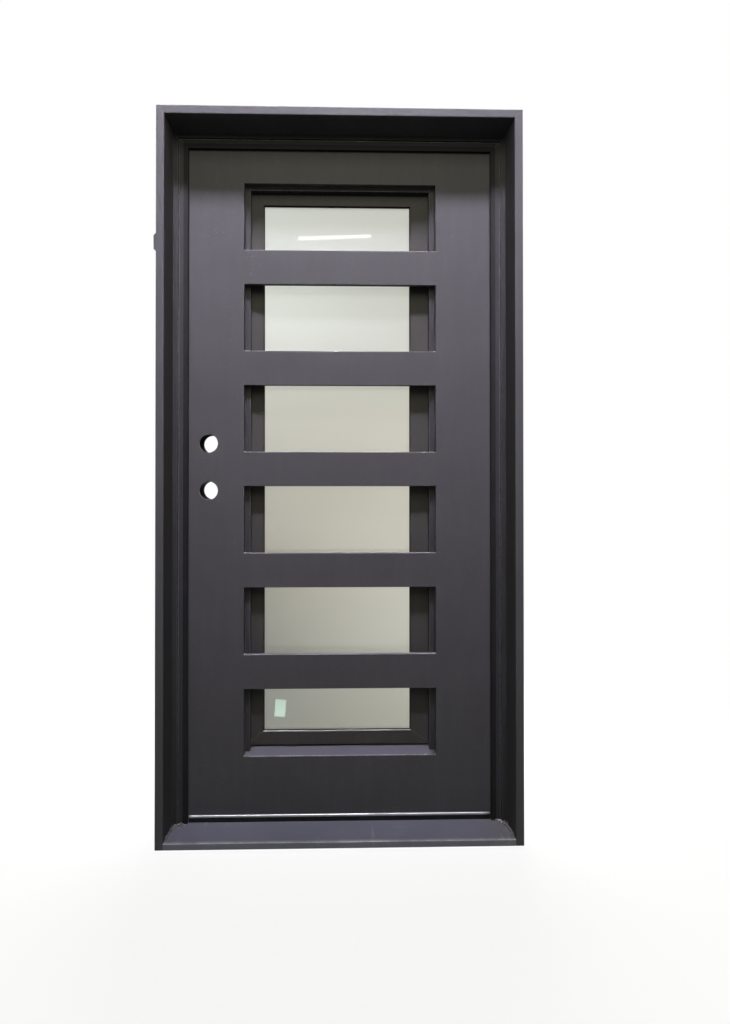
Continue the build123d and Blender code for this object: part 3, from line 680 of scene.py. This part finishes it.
def zigzag(node, edge, inward, layout, face):
    """Places for screws down a hinge plate, one near its outer edge and the next further in."""
    near, spread, count = layout
    low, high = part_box(node)
    spots = []
    for index in range(count):
        x = edge + inward * (near + spread * (index % 2))
        spots.append((x, face, low[2] + (high[2] - low[2]) * (index + 0.5) / count))
    return spots


back_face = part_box("hinge_jamb")[1][1]
door_plate_thickness = 0.003
sash_plate_thickness = 0.0025
door_plate_face = back_face + door_plate_thickness
sash_plate_face = back_face + sash_plate_thickness
door_layout = (0.009, 0.015, 4)
sash_layout = (0.0075, 0.0095, 3)
door_screw_radius = 0.0045
sash_screw_radius = 0.0032
bead_screw_radius = 0.0021
frame_spots = []
leaf_spots = []
small_leaf_spots = []
sash_spots = []
for height in heights:
    frame_plate = f"{height}_hinge_frame_plate"
    leaf_plate = f"{height}_hinge_leaf_plate"
    leaf_side = f"{height}_sash_hinge_leaf_plate"
    sash_side = f"{height}_sash_hinge_sash_plate"
    frame_spots += zigzag(frame_plate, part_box(frame_plate)[1][0], -1, door_layout, door_plate_face)
    leaf_spots += zigzag(leaf_plate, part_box(leaf_plate)[0][0], 1, door_layout, door_plate_face)
    small_leaf_spots += zigzag(leaf_side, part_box(leaf_side)[1][0], -1, sash_layout, sash_plate_face)
    sash_spots += zigzag(sash_side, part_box(sash_side)[0][0], 1, sash_layout, sash_plate_face)
bead_rows = [("foot_bead", 0, 4), ("top_bead", 0, 4), ("latch_bead", 2, 7), ("hinge_bead", 2, 7)]
bead_spots = []
for bead, along, count in bead_rows:
    low, high = (Vector(corner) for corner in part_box(bead))
    middle = (low + high) / 2
    for index in range(count):
        spot = middle.copy()
        spot[along] = low[along] + (high[along] - low[along]) * (index + 0.5) / count
        spot[1] = high[1]
        bead_spots.append(tuple(spot))
screw_heads("hinge_frame_screws", frame_spots, door_screw_radius, "frame", seed=11)
screw_heads("hinge_leaf_screws", leaf_spots, door_screw_radius, "leaf", seed=12)
screw_heads("sash_hinge_leaf_screws", small_leaf_spots, sash_screw_radius, "leaf", seed=13)
screw_heads("sash_hinge_sash_screws", sash_spots, sash_screw_radius, "sash", seed=14)
screw_heads("bead_screws", bead_spots, bead_screw_radius, "sash", seed=15)


# Turn buttons: two small steel catches on studs that swing over the sash to keep it shut.
# They are sprayed black, and the finger grip is rubbed bright at its edges.
button_paint = sprayed_steel("button_paint", paint=hardware_black, dusty=hardware_dust,
                             worn=(0.36, 0.35, 0.35, 1), wear=1.0)
dress(button_paint, ["lower_turn_button", "upper_turn_button"])


# Floor and white surroundings: a plain pale floor that keeps a soft shadow, and white all round.
# Mirrored and seen-through rays meet the same white, while the light that it sheds is kept low.
white = (1, 1, 1, 1)


def white_to_lens(tree, shown, shed):
    """One shade to the lens, to gloss and through glass, and the other to every other ray."""
    start = Shade(tree)
    seen = start.node("LightPath", {}, {}, out="Is Camera Ray")
    glossy = start.node("LightPath", {}, {}, out="Is Glossy Ray")
    through = start.node("LightPath", {}, {}, out="Is Transmission Ray")
    picked = start.maths("MAXIMUM", start.maths("MAXIMUM", seen, glossy), through)
    return start.node("MixShader", {}, {0: picked, 1: shed, 2: shown})


world = bpy.data.worlds.new("white_room")
bpy.context.scene.world = world
world.use_nodes = True
sky = Shade(world.node_tree)
room_white = sky.node("Background", {}, {"Color": white, "Strength": 1.0})
room_light = sky.node("Background", {}, {"Color": (0.86, 1.0, 0.84, 1), "Strength": 0.14})
room = white_to_lens(world.node_tree, room_white, room_light)
world.node_tree.links.new(room.socket, world.node_tree.nodes["World Output"].inputs["Surface"])

floor_half = 6.0
shadow_fades = (0.6, 1.8)
floor_glow_share = 0.85
floor_corners = [(-floor_half, -floor_half, 0), (floor_half, -floor_half, 0), (floor_half, floor_half, 0),
                 (-floor_half, floor_half, 0)]
floor_mesh = bpy.data.meshes.new("floor")
floor_mesh.from_pydata(floor_corners, [], [(0, 1, 2, 3)])
floor = bpy.data.objects.new("floor", floor_mesh)
bpy.context.collection.objects.link(floor)
floor_pale = bpy.data.materials.new("floor_pale")
floor_pale.use_nodes = True
floor_tree = floor_pale.node_tree
floor_place = Shade(floor_tree).node("TexCoord", {}, {}, out="Object")
reach = floor_place.node("VectorMath", {"operation": "LENGTH"}, {0: floor_place}, out="Value")
glow_share = floor_glow_share + reach.over(*shadow_fades) * (1 - floor_glow_share)
lit = floor_place.node("BsdfDiffuse", {}, {"Color": white})
dim = floor_place.node("BsdfDiffuse", {}, {"Color": (0.3, 0.3, 0.3, 1)})
glow = floor_place.node("Emission", {}, {"Color": white, "Strength": 1.0})
shadowed = floor_place.node("MixShader", {}, {0: glow_share, 1: lit, 2: glow})
floor_shown = white_to_lens(floor_tree, shadowed, dim)
floor_tree.links.new(floor_shown.socket, floor_tree.nodes["Material Output"].inputs["Surface"])
floor_mesh.materials.append(floor_pale)


# Studio light: one long soft lamp high in front, whose light falls off down the leaf and is cut by the head.
# A broad weak lamp fills the shade from the front, and one more lights the back; neither lights the pane.
# A slim tube shines in the glass.
def soft_lamp(name, place, target, width, depth, watts, colour):
    """A rectangular area lamp that looks at a target."""
    data = bpy.data.lights.new(name, "AREA")
    data.shape = "RECTANGLE"
    data.size = width
    data.size_y = depth
    data.energy = watts
    data.color = colour
    lamp = bpy.data.objects.new(name, data)
    aim = (Vector(target) - Vector(place)).to_track_quat("-Z", "Y")
    lamp.matrix_world = Matrix.Translation(place) @ aim.to_matrix().to_4x4()
    bpy.context.collection.objects.link(lamp)
    return lamp


key = soft_lamp("key", place=(0.0, -2.1, 6.1), target=(0.0, 0.0, 1.91), width=2.4, depth=0.6, watts=30.0,
                colour=(0.985, 0.945, 1.17))
key.data.spread = math.radians(17.5)
fill = soft_lamp("fill", place=(0.0, -2.0, 2.85), target=(0.0, 0.0, 1.7), width=1.3, depth=1.6, watts=45.0,
                 colour=(1.037, 1.0, 0.78))
back = soft_lamp("back", place=(0.3, 1.9, 4.3), target=(0.0, 0.0, 0.9), width=2.4, depth=1.6, watts=130.0,
                 colour=(1.0, 0.98, 0.96))
unlit = bpy.data.collections.new("unlit")
unlit.objects.link(nodes["pane"])
unlit.collection_objects[0].light_linking.link_state = "EXCLUDE"
for lamp in (fill, back):
    lamp.light_linking.receiver_collection = unlit
tube = soft_lamp("tube", place=(-0.014, -1.5, 2.503), target=(-0.014, 0.0, 1.75), width=0.44, depth=0.018,
                 watts=0.25, colour=(1.0, 1.0, 0.98))
tube_roll = math.radians(2.4)
tube.matrix_world = tube.matrix_world @ Matrix.Rotation(tube_roll, 4, "Z")


# Camera: as high as the middle of the door, close in front of it, with the wide lens of the photograph.
# Its place, turn and shift were worked out from edges of the door measured on the photograph.
camera_data = bpy.data.cameras.new("front_camera")
camera_data.sensor_fit = "VERTICAL"
camera_data.sensor_height = 36.0
camera_data.lens = 18.39
camera_data.shift_x = 0.0208
camera_data.shift_y = -0.0316
camera = bpy.data.objects.new("front_camera", camera_data)
camera.location = (-0.0194, -1.5364, 1.0161)
camera.rotation_euler = (math.radians(90.344), 0.0, math.radians(-1.10))
bpy.context.collection.objects.link(camera)
bpy.context.scene.camera = camera

bpy.context.scene.view_settings.view_transform = "Standard"
